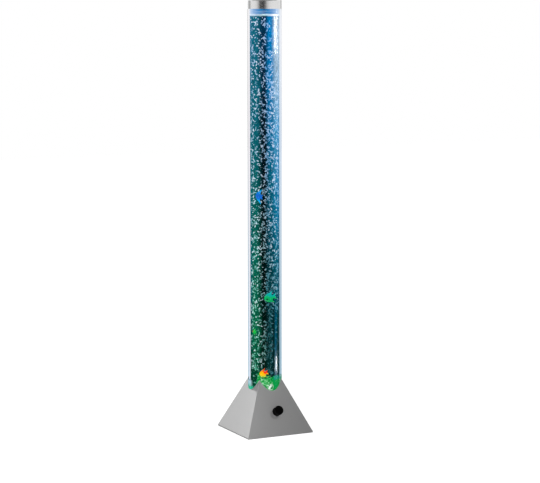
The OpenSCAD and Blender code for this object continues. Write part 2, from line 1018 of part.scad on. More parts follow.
module swept_tube(route, r, sides) {
    p = smooth_route(route, wire_steps);
    n = len(p);
    sideways = side_vectors(p, 0, [0.3, 0.5, 0.8]);
    points = [for (i = [0:n - 1])
        let (t = heading(p, i), u = sideways[i], v = cross(t, u))
        for (k = [0:sides - 1])
            p[i] + r * (cos(k * 360 / sides) * u + sin(k * 360 / sides) * v)];
    walls = [for (i = [0:n - 2]) for (k = [0:sides - 1])
        let (a = i * sides + k, b = i * sides + (k + 1) % sides)
        for (face = [[a, a + sides, b], [b, a + sides, b + sides]]) face];
    first = [for (k = [1:sides - 2]) [0, k, k + 1]];
    last = [for (k = [1:sides - 2])
        let (o = (n - 1) * sides)
        [o, o + k + 1, o + k]];
    polyhedron(points, concat(walls, first, last));
}

module wiring() {
    color("firebrick")
        for (route = [jack_lead, pump_lead, light_lead, switch_lead])
            swept_tube(route, wire_r, wire_sides);
}

// Spun cap: skirt over the tube, and a plug ring inside it
module top_cap() {
    e = cap_edge_r;
    top = cap_h;
    edge = [for (a = [0:15:90]) [cap_r - e + e * cos(a), top - e + e * sin(a)]];
    inner_e = 0.6;
    inner = [for (a = [90:-30:0])
        [cap_bore_r - inner_e + inner_e * cos(a), top - cap_t - inner_e + inner_e * sin(a)]];
    plug_top = top - cap_t;
    plug_z = plug_top - cap_plug_h;
    profile = concat([[cap_bore_r, 0], [cap_r, 0]], edge, [[0, top], [0, plug_top],
        [plug_r - plug_wall, plug_top], [plug_r - plug_wall, plug_z], [plug_r, plug_z],
        [plug_r, plug_top]], inner);
    color([0.74, 0.74, 0.75])
        translate([0, 0, cap_z])
            difference() {
                rotate_extrude()
                    polygon(profile);
                for (i = [0:3])
                    rotate([0, 0, i * 90 + 45])
                        translate([plug_r - 2 * plug_wall, -2, plug_z - cut])
                            cube([3 * plug_wall - 0.5, 4, 5 + cut]);
            }
}

// Silicone pads that hold the plug in the tube and let the air out between them
module cap_pads() {
    color(soft_clear)
        translate([0, 0, cap_z + cap_h - cap_t - cap_plug_h + 1.5])
            for (i = [0:3])
                rotate([0, 0, i * 90 - pad_angle / 2])
                    rotate_extrude(angle = pad_angle)
                        translate([plug_r, 0])
                            square([water_r - plug_r - gap, pad_band]);
}

// Side view of a fish, nose towards +X: a deep oval body that narrows to the tail
function body_outline(l, h) = [for (a = [0:10:350])
    [l * (0.16 + 0.36 * cos(a)), h / 2 * sin(a) * (1 - 0.22 * cos(a))]];

// Swept fin: root from x0 to x1 on the body, tip at (tip_x, tip_z), with a curved trailing edge
function fin_outline(x0, x1, root_z, tip_x, tip_z) = concat(
    [[x1, root_z], [x1, root_z + 0.3 * (tip_z - root_z)]],
    [for (s = [0:0.2:1]) [x1 + (tip_x - x1) * pow(s, 0.8), root_z + (tip_z - root_z) * (0.3 + 0.7 * s)]],
    [for (s = [1:-0.2:0]) [x0 + (tip_x - 0.5 - x0) * s * s, root_z + (tip_z - root_z) * s]]);

// Forked tail, root at x, ending at the back of the fish
function tail_outline(x, end_x, half_root, half_end) = concat(
    [[x, -half_root], [x, half_root]],
    [for (a = [90:-30:-90])
        [end_x + 0.28 * (x - end_x) * (1 - abs(sin(a))), half_end * sin(a)]]);

// Upright plate, t thick, from an outline in X and Z
module upright(outline, t) {
    rotate([90, 0, 0])
        linear_extrude(t, center = true)
            polygon(outline);
}

// Fish of length l and height tall: a lens-shaped body with fins, tail and eyes
module fish(l, body_h, tall, body_t) {
    lens_d = 1.12 * max(l * 0.72, body_h);
    lens_r = (lens_d * lens_d + body_t * body_t) / (4 * body_t);
    rise = tall / 2;
    intersection() {
        upright(body_outline(l, body_h), body_t + cut);
        translate([l * 0.12, 0, 0])
            intersection_for (side = [-1, 1])
                translate([0, side * (lens_r - body_t / 2), 0])
                    sphere(r = lens_r);
    }
    for (side = [-1, 1])
        upright([for (p = fin_outline(-0.12 * l, 0.3 * l, body_h * 0.3, -0.3 * l, rise))
            [p[0], side * p[1]]], fin_t);
    upright(tail_outline(-0.12 * l, -0.5 * l, body_h * 0.12, body_h * 0.33), fin_t);
    translate([0.36 * l, 0, 0.07 * body_h])
        rotate([90, 0, 0])
            cylinder(r = 0.055 * l, h = body_t * 0.72, center = true);
}

// Places a fish in its lane: at a height, a heading and a tilt
module in_lane(at, z, turn, tilt) {
    translate([at[0], at[1], z])
        rotate([0, tilt, turn])
            children();
}

module fish_blue() {
    color([0.1, 0.3, 0.8])
        in_lane(blue_lane, blue_z, blue_turn, -6)
            fish(blue_len, blue_len * 0.78, blue_len * 1.5, blue_len * 0.26);
}

module fish_teal() {
    color([0.05, 0.5, 0.5])
        in_lane(teal_lane, teal_z, teal_turn, 14)
            fish(teal_len, teal_len * 0.72, teal_len * 0.98, teal_len * 0.24);
}

module fish_green() {
    color([0.2, 0.6, 0.3])
        in_lane(green_lane, green_z, green_turn, 8)
            fish(green_len, green_len * 0.72, green_len * 0.98, green_len * 0.32);
}

module fish_orange() {
    color([0.9, 0.5, 0.1])
        in_lane(orange_lane, orange_z, orange_turn, 18)
            fish(orange_len, orange_len * 0.8, orange_len * 1.1, orange_len * 0.28);
}

base_shell();
base_plate();
rubber_feet();
base_screws();
tube_socket();
socket_screws();
socket_gasket();
tube_floor();
acrylic_tube();
air_nozzle();
nozzle_nut();
air_stone();
nozzle_hose();
check_valve();
pump_hose();
pump_tray();
pump_pads();
pump_screws();
valve_block();
pump_bellows();
pump_core();
pump_coil();
pivot_pin();
swing_arm();
arm_magnet();
led_board();
led_chips();
led_screws();
control_board();
board_parts();
board_screws();
rotary_switch();
switch_nut();
switch_shaft();
control_knob();
dc_jack();
jack_nut();
wiring();
top_cap();
cap_pads();
fish_blue();
fish_teal();
fish_green();
fish_orange();
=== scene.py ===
import json
import math
import random

import bmesh
import bpy
from mathutils import Matrix, Quaternion, Vector


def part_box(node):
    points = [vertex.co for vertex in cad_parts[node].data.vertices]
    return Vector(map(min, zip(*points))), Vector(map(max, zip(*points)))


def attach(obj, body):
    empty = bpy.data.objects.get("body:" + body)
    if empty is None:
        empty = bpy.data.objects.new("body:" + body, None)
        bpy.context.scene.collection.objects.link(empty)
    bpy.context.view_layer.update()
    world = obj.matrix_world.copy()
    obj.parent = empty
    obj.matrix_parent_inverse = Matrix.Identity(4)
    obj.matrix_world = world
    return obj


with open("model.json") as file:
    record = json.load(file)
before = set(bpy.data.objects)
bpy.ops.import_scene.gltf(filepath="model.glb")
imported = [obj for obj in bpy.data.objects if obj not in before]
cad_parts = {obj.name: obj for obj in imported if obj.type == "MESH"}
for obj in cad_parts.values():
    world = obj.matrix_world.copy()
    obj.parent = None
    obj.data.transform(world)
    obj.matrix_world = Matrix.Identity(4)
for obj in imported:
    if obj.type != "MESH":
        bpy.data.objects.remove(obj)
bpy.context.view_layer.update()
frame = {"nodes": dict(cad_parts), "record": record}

print("frame loaded:", len(frame["nodes"]), "nodes")

cameraView = {
    "place": (-2.3107, -4.7066, 1.2005),
    "forward": (0.43964, 0.88926, -0.12619),
    "roll": -0.00108,
    "lens": 126.67,
    "sensor": 36.0,
}


def placeCamera(view):
    data = bpy.data.cameras.new("photo_camera")
    data.lens = view["lens"]
    data.sensor_width = view["sensor"]
    camera = bpy.data.objects.new("photo_camera", data)
    camera.location = view["place"]
    camera.rotation_mode = "QUATERNION"
    aimed = Vector(view["forward"]).to_track_quat("-Z", "Y")
    camera.rotation_quaternion = aimed @ Quaternion((0, 0, 1), view["roll"])
    bpy.context.scene.collection.objects.link(camera)
    bpy.context.scene.camera = camera


placeCamera(cameraView)
bpy.context.scene.view_settings.view_transform = "Standard"
print("camera placed")


# Nodes and colours

def tint(code):  # linear colour from a hex colour
    parts = [int(code[i:i + 2], 16) / 255 for i in (0, 2, 4)]
    return [((p + 0.055) / 1.055) ** 2.4 if p > 0.04 else p / 12.92 for p in parts] + [1.0]


def addNode(tree, kind, inputs=None, **settings):
    item = tree.nodes.new("ShaderNode" + kind)
    for key, value in settings.items():
        setattr(item, key, value)
    for key, value in (inputs or {}).items():
        setInput(tree, item.inputs[key], value)
    return item


def setInput(tree, socket, value):
    if isinstance(value, bpy.types.NodeSocket):
        tree.links.new(value, socket)
    else:
        socket.default_value = value


def calc(tree, operation, *values, clamp=False):
    item = addNode(tree, "Math", operation=operation, use_clamp=clamp)
    for socket, value in zip(item.inputs, values):
        setInput(tree, socket, value)
    return item.outputs[0]


def mixColours(tree, share, low, high, mode="MIX"):
    item = addNode(tree, "Mix", data_type="RGBA", blend_type=mode)
    for index, value in ((0, share), (6, low), (7, high)):
        setInput(tree, item.inputs[index], value)
    return item.outputs[2]


def colourRamp(tree, share, stops, kind="LINEAR"):
    item = addNode(tree, "ValToRGB", {"Fac": share})
    item.color_ramp.interpolation = kind
    elements = item.color_ramp.elements
    while len(elements) < len(stops):
        elements.new(0.5)
    for element, (place, colour) in zip(elements, stops):
        element.position = place
        element.color = colour
    return item.outputs["Color"]


def fade(tree, value, start, end):  # 0 at start, 1 at end, smooth between them
    item = addNode(tree, "MapRange", {"Value": value, "From Min": start, "From Max": end},
                   interpolation_type="SMOOTHSTEP")
    return item.outputs["Result"]


def peak(tree, value, centre, half):  # 1 at the centre, 0 beyond half to either side
    away = calc(tree, "ABSOLUTE", calc(tree, "SUBTRACT", value, centre))
    return fade(tree, away, half, 0.0)


def times(tree, *values):
    product = values[0]
    for value in values[1:]:
        product = calc(tree, "MULTIPLY", product, value)
    return product


def blend(tree, value, bounds, low, high, *shares):  # from low to high as the value crosses the bounds
    return mixColours(tree, times(tree, fade(tree, value, *bounds), *shares), low, high)


def vectorNode(tree, operation, first, second):  # dot product or distance
    item = addNode(tree, "VectorMath", {0: first, 1: second}, operation=operation)
    return item.outputs["Value"]


def heightOf(tree, place):
    return addNode(tree, "SeparateXYZ", {"Vector": place}).outputs["Z"]


def tints(stops):
    return [(at, tint(code)) for at, code in stops]


def noise(tree, place, scale, detail=2.0, roughness=0.5):
    return addNode(tree, "TexNoise", {"Vector": place, "Scale": scale, "Detail": detail,
                                      "Roughness": roughness}).outputs["Fac"]


def stretched(tree, place, scale):  # squeezes a pattern along each axis
    return addNode(tree, "Mapping", {"Vector": place, "Scale": scale}).outputs["Vector"]


def newMaterial(name):
    material = bpy.data.materials.new(name)
    material.use_nodes = True
    tree = material.node_tree
    tree.nodes.clear()
    place = addNode(tree, "TexCoord").outputs["Object"]
    output = addNode(tree, "OutputMaterial")
    return material, tree, place, output.inputs["Surface"]


def newGroup(name, inputs, outputs):
    tree = bpy.data.node_groups.new(name, "ShaderNodeTree")
    for label, kind, value in inputs:
        socket = tree.interface.new_socket(name=label, in_out="INPUT", socket_type="NodeSocket" + kind)
        if value is not None:
            socket.default_value = value
    for label, kind in outputs:
        tree.interface.new_socket(name=label, in_out="OUTPUT", socket_type="NodeSocket" + kind)
    start = tree.nodes.new("NodeGroupInput")
    end = tree.nodes.new("NodeGroupOutput")
    return tree, start.outputs, end.inputs


def useGroup(tree, group, inputs):
    item = tree.nodes.new("ShaderNodeGroup")
    item.node_tree = group
    for key, value in inputs.items():
        setInput(tree, item.inputs[key], value)
    return item.outputs


# Grain and handling marks, shared by the finishes

def makeGrainGroup():
    tree, given, result = newGroup(
        "finish_grain",
        [("Place", "Vector", None), ("Colour", "Color", (0.5, 0.5, 0.5, 1)),
         ("Grain Size", "Float", 0.0005), ("Grain Tone", "Float", 0.1),
         ("Handling Tone", "Float", 0.06), ("Roughness", "Float", 0.5), ("Roughness Spread", "Float", 0.1)],
        [("Colour", "Color"), ("Roughness", "Float"), ("Height", "Float")])
    scale = calc(tree, "DIVIDE", 1.0, given["Grain Size"])
    grain = noise(tree, given["Place"], scale, 3.0, 0.6)
    patches = noise(tree, given["Place"], 38.0, 4.0, 0.62)  # marks from wiping and handling, a few cm across
    grainShift = times(tree, calc(tree, "SUBTRACT", grain, 0.5), given["Grain Tone"])
    patchShift = times(tree, calc(tree, "SUBTRACT", patches, 0.5), given["Handling Tone"])
    level = calc(tree, "ADD", calc(tree, "ADD", grainShift, patchShift), 1.0)
    shade = addNode(tree, "CombineColor", {"Red": level, "Green": level, "Blue": level}).outputs["Color"]
    setInput(tree, result["Colour"], mixColours(tree, 1.0, given["Colour"], shade, "MULTIPLY"))
    spread = times(tree, calc(tree, "SUBTRACT", patches, 0.5), given["Roughness Spread"])
    setInput(tree, result["Roughness"], calc(tree, "ADD", given["Roughness"], spread, clamp=True))
    setInput(tree, result["Height"], grain)
    return tree


acrossView = Vector((0.89643, -0.44318, 0.0))  # to the right, seen from the photo's camera
backView = Vector((0.44318, 0.89643, 0.0))  # away from that camera
colourSpan = 1.2  # the colour ramps run from the floor to this height

# In these looks, a pair of numbers says where a blend begins and where it is complete.
# Across, -1 is the left edge of the water and 1 the right. Heights are in metres.
# painted light: the water glows in these colours, teal to the left, dark in the core, blue to the right and
# pale at the right edge
waterLook = {
    "radius": 0.0402,
    "leftEdge": [(0.2, "065038"), (0.4, "0c7078"), (0.8, "127e8c"), (1.1, "2480a4")],
    "left": [(0.15, "044c34"), (0.28, "087450"), (0.6, "086a60"), (0.85, "107080"), (1.1, "1a7890")],
    "core": [(0.15, "04281e"), (0.3, "021a16"), (0.6, "03181c"), (0.85, "041a28"), (1.1, "063858")],
    "right": [(0.2, "043434"), (0.45, "06444e"), (0.7, "066c88"), (0.9, "067eb6"), (1.1, "0490d8")],
    "edge": [(0.3, "04484c"), (0.5, "0c7088"), (0.65, "1890bc"), (0.85, "5cb4e4"), (0.97, "acd6f4"),
             (1.12, "dcecfc")],
    "leftToCore": (-0.62, -0.12), "coreToRight": (0.0, 0.38), "rightToEdge": (0.42, 0.86),
    "toLeftEdge": (-0.82, -0.96),
    "waverScale": (30, 30, 9), "waver": 0.22,
    "mottleScale": (210, 210, 126), "mottle": "c4c4c4", "mottleFrom": (0.3, 0.75),
    "streaksBelow": (0.42, 0.30),
    "streaks": [{"at": 0.58, "half": 0.10, "share": 0.75, "colour": "02181e"},
                {"at": 0.76, "half": 0.09, "share": 0.8, "colour": "04648c"}],
}
bubbleLook = {
    "left": [(0.2, "6cd0b0"), (0.33, "90e4cc"), (0.5, "9cdcdc"), (0.75, "b0d4ec"), (1.1, "bccff4")],
    "core": [(0.2, "508c80"), (0.33, "5c8c8c"), (0.5, "749ca0"), (0.75, "7898b0"), (1.1, "94b4dc")],
    "middle": [(0.25, "2c5c60"), (0.4, "44808c"), (0.55, "6494a8"), (0.8, "80b0dc"), (1.1, "64a8e4")],
    "right": [(0.3, "3c8490"), (0.5, "6cacc4"), (0.65, "94c0e4"), (0.8, "bcd4f8"), (1.1, "d0e2f8")],
    "leftToCore": (-0.55, -0.25), "coreToMiddle": (-0.05, 0.15), "middleToRight": (0.35, 0.6),
    "toLeftEdge": (-0.8, -0.92), "leftEdgeShare": 0.45,
    # the white is a painted glint on the bubbles
    "white": "eef4ff", "whiteShare": 0.7, "sparkScale": 95.0, "whiteFrom": (0.5, 0.62),
    "coreAt": 0.05, "coreHalf": 0.6, "coreLoss": 0.45,
    "lowBelow": (0.55, 0.38), "lowRightOf": (-0.1, 0.3), "lowLoss": 0.5,
    "dimFrom": (0.52, 0.36), "dimShare": 0.62,
    "skin": "1c2c30", "facing": 0.35, "facingShare": 0.6, "throughStrength": 1.3,
}
# painted light: the green and teal glow at the foot of the water
footLook = {
    "rimHeight": 0.1262, "rimBlend": 0.0015, "rim": "28b084", "share": 0.9,
    "plumeFrom": -0.56, "plumeBlend": 0.08, "plumeRise": 0.0318, "blobScale": 170.0,
    "plume": [(0.32, "047834"), (0.46, "06a03c"), (0.6, "4cc068"), (0.74, "c0ecc8")],
    "ragged": 0.03, "liftFrom": (-0.27, -0.42), "lift": 0.012,
    "patchFrom": 0.61, "patchBlend": 0.03, "patchRise": 0.0016,
    "patchLow": "08a046", "patchHigh": "109a7c", "patchLowFrom": (0.35, 0.6),
    "split": 0.1480, "splitBlend": 0.003,
    # sparkle: a painted glint near the foot
    "sparkleAt": (-0.0015, -0.0397, 0.1285), "sparkleReach": (0.011, 0.004), "sparkle": "f8fff8",
    "sparkleBlobs": (0.40, 0.52),
}
# painted light: tints of the wall's edges, and its glow at the foot
wallLook = {
    "left": [(0.2, "ccd6e4"), (0.5, "e0e2ea"), (0.8, "eeeaf0"), (1.1, "f2f1f4")],
    "leftRim": [(0.2, "98b8c8"), (0.5, "a8bcc8"), (0.8, "c4c8c8"), (1.1, "d4d4d4")],
    "right": [(0.2, "6890a4"), (0.5, "90bcd0"), (0.8, "b8d4e8"), (1.1, "dce8f4")],
    "rightRim": [(0.2, "98b4c4"), (0.5, "b8c8d6"), (0.8, "ccd8e8"), (1.1, "eaeef4")],
    "toLeftRim": (-1.09, -1.13), "toRightRim": (1.02, 1.08), "leftToRight": (-0.6, 0.6),
    "leftFoot": "b4d0dc", "leftFootFrom": (0.1265, 0.131), "leftFootBelow": (0.146, 0.142),
    # painted shade at the foot of the right wall
    "rightFoot": "30504a", "rightFootBelow": (0.1565, 0.1545),
}


def heightColour(tree, height, stops):  # one colour after another, up the tube
    return colourRamp(tree, height, [(at / colourSpan, tint(code)) for at, code in stops])


def sideways(tree, place):  # -1 at the left edge of the water, 1 at the right
    across = vectorNode(tree, "DOT_PRODUCT", place, acrossView)
    return calc(tree, "DIVIDE", across, waterLook["radius"])


def heightColours(tree, height, look, *keys):
    return [heightColour(tree, height, look[key]) for key in keys]


def around(centre, half):
    return centre - half, centre + half


def paintWater(tree, at, look):  # painted light: left, dark core, right and bright edge, with smooth streaks low down
    left, core, right, edge = heightColours(tree, at["up"], look, "left", "core", "right", "edge")
    body = blend(tree, at["wavered"], look["leftToCore"], left, core)
    body = blend(tree, at["wavered"], look["coreToRight"], body, right)
    body = blend(tree, at["side"], look["rightToEdge"], body, edge)
    body = blend(tree, at["side"], look["toLeftEdge"], body, at["leftEdge"])
    low = fade(tree, at["height"], *look["streaksBelow"])
    for streak in look["streaks"]:
        share = times(tree, low, peak(tree, at["side"], streak["at"], streak["half"]), streak["share"])
        body = mixColours(tree, share, body, tint(streak["colour"]))
    return body


def paintBubbles(tree, at, look, body):  # painted glints: whiter where sparkling, less so in the core and low at the right
    left, core, middle, right = heightColours(tree, at["up"], look, "left", "core", "middle", "right")
    bubble = blend(tree, at["wavered"], look["leftToCore"], left, core)
    bubble = blend(tree, at["wavered"], look["coreToMiddle"], bubble, middle)
    bubble = blend(tree, at["wavered"], look["middleToRight"], bubble, right)
    bubble = blend(tree, at["side"], look["toLeftEdge"], bubble, at["leftEdge"], look["leftEdgeShare"])
    spark = noise(tree, at["place"], look["sparkScale"], 1.0)
    coreLoss = times(tree, peak(tree, at["wavered"], look["coreAt"], look["coreHalf"]), look["coreLoss"])
    lowLoss = times(tree, fade(tree, at["height"], *look["lowBelow"]),
                    fade(tree, at["wavered"], *look["lowRightOf"]), look["lowLoss"])
    share = calc(tree, "SUBTRACT", calc(tree, "SUBTRACT", look["whiteShare"], coreLoss), lowLoss, clamp=True)
    bubble = blend(tree, spark, look["whiteFrom"], bubble, tint(look["white"]), share)
    return blend(tree, spark, look["dimFrom"], bubble, body, look["dimShare"])


def paintFoot(tree, at, look, mottle):  # painted light: green plume and teal patch glowing over the lights, with a painted glint: share and colour
    middle = fade(tree, at["wavered"], *around(look["plumeFrom"], look["plumeBlend"]))
    patch = fade(tree, at["side"], *around(look["patchFrom"], look["patchBlend"]))
    ragged = times(tree, calc(tree, "SUBTRACT", 1.0, patch), look["ragged"])
    rises = [times(tree, middle, look["plumeRise"]),
             times(tree, patch, look["patchRise"]),
             times(tree, calc(tree, "SUBTRACT", mottle, 0.5), ragged),
             times(tree, middle, fade(tree, at["side"], *look["liftFrom"]), look["lift"])]
    top = look["rimHeight"]
    for rise in rises:
        top = calc(tree, "ADD", top, rise)
    share = fade(tree, at["height"], calc(tree, "ADD", top, look["rimBlend"]),
                 calc(tree, "SUBTRACT", top, look["rimBlend"]))
    blobs = noise(tree, at["place"], look["blobScale"], 1.0)
    green = colourRamp(tree, blobs, tints(look["plume"]))
    green = blend(tree, at["side"], look["patchLowFrom"], green, tint(look["patchLow"]))
    split = around(look["split"], look["splitBlend"])
    green = blend(tree, at["height"], split, green, tint(look["patchHigh"]), patch)
    green = mixColours(tree, middle, tint(look["rim"]), green)
    away = vectorNode(tree, "DISTANCE", at["place"], look["sparkleAt"])
    glint = times(tree, fade(tree, away, *look["sparkleReach"]), fade(tree, blobs, *look["sparkleBlobs"]))
    return times(tree, share, look["share"]), mixColours(tree, glint, green, tint(look["sparkle"]))


def paintWalls(tree, at, look, foot):  # painted light: the pale and bluish tints the tube's wall shows at its edges, painted shade at the right foot, and its painted glow at the foot
    black = tint("000000")
    split = around(foot["split"], foot["splitBlend"])
    left, leftRim, right, rightRim = heightColours(
        tree, at["up"], look, "left", "leftRim", "right", "rightRim")
    left = blend(tree, at["side"], look["toLeftRim"], left, leftRim)
    right = blend(tree, at["side"], look["toRightRim"], right, rightRim)
    right = blend(tree, at["height"], look["rightFootBelow"], right, tint(look["rightFoot"]))
    leftLight = blend(tree, at["height"], look["leftFootFrom"], tint(foot["rim"]), tint(look["leftFoot"]))
    leftLight = blend(tree, at["height"], look["leftFootBelow"], black, leftLight)
    rightLight = blend(tree, at["height"], split, tint(foot["patchLow"]), tint(foot["patchHigh"]))
    rightLight = blend(tree, at["height"], look["rightFootBelow"], black, rightLight)
    return (blend(tree, at["side"], look["leftToRight"], left, right),
            blend(tree, at["side"], look["leftToRight"], leftLight, rightLight))


def makeWaterGroup():  # painted light: the glow colours of the lit water, by place in the tube
    tree, given, result = newGroup(
        "lit_water_colours",
        [("Place", "Vector", None)],
        [("Backdrop", "Color"), ("Bubble", "Color"), ("Glow", "Color"), ("Glow Share", "Float"),
         ("Wall", "Color"), ("Foot Light", "Color")])
    at = {"place": given["Place"], "side": sideways(tree, given["Place"])}
    at["height"] = heightOf(tree, given["Place"])
    at["up"] = calc(tree, "DIVIDE", at["height"], colourSpan)
    waver = noise(tree, stretched(tree, given["Place"], waterLook["waverScale"]), 1.0, 2.0)
    shift = times(tree, calc(tree, "SUBTRACT", waver, 0.5), waterLook["waver"])
    at["wavered"] = calc(tree, "ADD", at["side"], shift)
    at["leftEdge"] = heightColour(tree, at["up"], waterLook["leftEdge"])
    body = paintWater(tree, at, waterLook)
    mottle = noise(tree, stretched(tree, given["Place"], waterLook["mottleScale"]), 1.0, 2.0, 0.6)
    mottled = blend(tree, mottle, waterLook["mottleFrom"], tint(waterLook["mottle"]), tint("ffffff"))
    setInput(tree, result["Backdrop"], mixColours(tree, 1.0, body, mottled, "MULTIPLY"))
    setInput(tree, result["Bubble"], paintBubbles(tree, at, bubbleLook, body))
    share, glow = paintFoot(tree, at, footLook, mottle)
    setInput(tree, result["Glow Share"], share)
    setInput(tree, result["Glow"], glow)
    wall, light = paintWalls(tree, at, wallLook, footLook)
    setInput(tree, result["Wall"], wall)
    setInput(tree, result["Foot Light"], light)
    return tree


grainGroup = makeGrainGroup()
waterGroup = makeWaterGroup()


plainFinish = {  # for whatever a finish doesn't set itself
    "grain": 0.0006, "tone": 0.12, "marks": 0.06, "spread": 0.12, "strength": 0.25, "depth": 0.0001,
    "metallic": 0.0, "gloss": 0.5, "coat": 0.0, "coatRoughness": 0.08, "alpha": 1.0,
    "brushed": 0.0, "brushTurn": 0.25, "stretch": None,
}


def finishMaterial(name, ownLook):  # painted, moulded or metal finish with grain, marks and a fine bump
    material, tree, place, surface = newMaterial(name)
    look = {**plainFinish, **ownLook}
    if look["stretch"]:
        place = stretched(tree, place, look["stretch"])
    grain = useGroup(tree, grainGroup, {
        "Place": place, "Colour": tint(look["colour"]), "Grain Size": look["grain"],
        "Grain Tone": look["tone"], "Handling Tone": look["marks"],
        "Roughness": look["roughness"], "Roughness Spread": look["spread"]})
    bump = addNode(tree, "Bump", {
        "Height": grain["Height"], "Strength": look["strength"], "Distance": look["depth"]})
    shader = addNode(tree, "BsdfPrincipled", {
        "Base Color": grain["Colour"], "Roughness": grain["Roughness"], "Normal": bump.outputs["Normal"],
        "Metallic": look["metallic"], "Specular IOR Level": look["gloss"],
        "Coat Weight": look["coat"], "Coat Roughness": look["coatRoughness"], "Alpha": look["alpha"]})
    if look["brushed"]:
        setInput(tree, shader.inputs["Anisotropic"], look["brushed"])
        setInput(tree, shader.inputs["Anisotropic Rotation"], look["brushTurn"])
        tangent = addNode(tree, "Tangent", direction_type="RADIAL", axis="Z")
        setInput(tree, shader.inputs["Tangent"], tangent.outputs["Tangent"])
    setInput(tree, surface, shader.outputs["BSDF"])
    return material


def showThroughShadows(tree, shader, surface, passing=(1, 1, 1, 1)):  # lamps shine through
    shadow = addNode(tree, "LightPath").outputs["Is Shadow Ray"]
    clear = addNode(tree, "BsdfTransparent", {"Color": passing}).outputs["BSDF"]
    mix = addNode(tree, "MixShader", {0: shadow, 1: shader, 2: clear})
    setInput(tree, surface, mix.outputs["Shader"])


def acrylicMaterial(name, look):
    material, tree, place, surface = newMaterial(name)
    grain = useGroup(tree, grainGroup, {
        "Place": place, "Colour": tint(look["colour"]), "Grain Size": 0.004, "Grain Tone": 0.02,
        "Handling Tone": 0.03, "Roughness": 0.012, "Roughness Spread": 0.02})
    facing = addNode(tree, "LayerWeight", {"Blend": 0.5}).outputs["Facing"]
    lit = useGroup(tree, waterGroup, {"Place": place})
    rim = fade(tree, facing, look["rimFrom"], look["rimTo"])
    # painted reflection: the edges take the painted wall tints, and the foot glows as painted light
    colour = mixColours(tree, rim, grain["Colour"], lit["Wall"])
    glow = mixColours(tree, rim, tint("000000"), lit["Foot Light"])
    passing = mixColours(tree, rim, tint(look["passing"]), tint(look["rimPassing"]))
    shader = addNode(tree, "BsdfPrincipled", {
        "Base Color": colour, "Roughness": grain["Roughness"], "IOR": look["ior"],
        "Transmission Weight": 1.0, "Coat Weight": look["coat"], "Coat Roughness": 0.09, "Coat IOR": 1.49,
        "Emission Color": glow, "Emission Strength": look["glow"]})
    showThroughShadows(tree, shader.outputs["BSDF"], surface, passing)
    return material


def airStoneMaterial(name, look):
    material, tree, place, surface = newMaterial(name)
    cells = addNode(tree, "TexVoronoi", {"Vector": place, "Scale": look["cells"]}).outputs["Distance"]
    colour = colourRamp(tree, cells, tints([(0.0, look["grit"]), (0.6, look["pore"])]))
    bump = addNode(tree, "Bump", {"Height": cells, "Strength": 0.8, "Distance": 0.0004})
    shader = addNode(tree, "BsdfPrincipled", {
        "Base Color": colour, "Roughness": 0.85, "Normal": bump.outputs["Normal"]})
    setInput(tree, surface, shader.outputs["BSDF"])
    return material


def layeredMaterial(name, look):  # stacked laminations or wound wire, as fine bands along one axis
    material, tree, place, surface = newMaterial(name)
    wave = addNode(tree, "TexWave", {
        "Vector": place, "Scale": look["bands"], "Distortion": 0.6, "Detail": 1.0, "Detail Scale": 2.0},
        bands_direction=look["axis"]).outputs["Fac"]
    colour = colourRamp(tree, wave, tints([(0.0, look["groove"]), (0.45, look["colour"])]))
    bump = addNode(tree, "Bump", {"Height": wave, "Strength": 0.6, "Distance": 0.0002})
    shader = addNode(tree, "BsdfPrincipled", {
        "Base Color": colour, "Roughness": look["roughness"], "Metallic": look["metallic"],
        "Normal": bump.outputs["Normal"]})
    setInput(tree, surface, shader.outputs["BSDF"])
    return material


def fishMaterial(name, look):  # glossy paint: belly, flank and back colours, and one patch, which also glow as painted light
    material, tree, place, surface = newMaterial(name)
    low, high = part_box(look["node"])
    level = calc(tree, "DIVIDE", calc(tree, "SUBTRACT", heightOf(tree, place), low.z), high.z - low.z)
    wobble = noise(tree, place, fishPaint["wobbleScale"], 3.0)
    shift = times(tree, calc(tree, "SUBTRACT", wobble, 0.5), fishPaint["wobble"])
    paint = colourRamp(tree, calc(tree, "ADD", level, shift), tints(look["stops"]), "EASE")
    away = vectorNode(tree, "DISTANCE", place, look["spotAt"])
    inner = look["spotRadius"] * fishPaint["spotCore"]
    spotted = blend(tree, away, (look["spotRadius"], inner), paint, tint(look["spot"]))
    scales = addNode(tree, "TexVoronoi", {
        "Vector": stretched(tree, place, fishPaint["scaleStretch"]), "Scale": fishPaint["scales"]})
    bump = addNode(tree, "Bump", {"Height": scales.outputs["Distance"], "Strength": 0.3, "Distance": 0.0003})
    shader = addNode(tree, "BsdfPrincipled", {
        "Base Color": spotted, "Roughness": 0.28, "Coat Weight": 0.6, "Coat Roughness": 0.05,
        "Normal": bump.outputs["Normal"], "Emission Color": spotted, "Emission Strength": look["lit"]})
    setInput(tree, surface, shader.outputs["BSDF"])
    return material


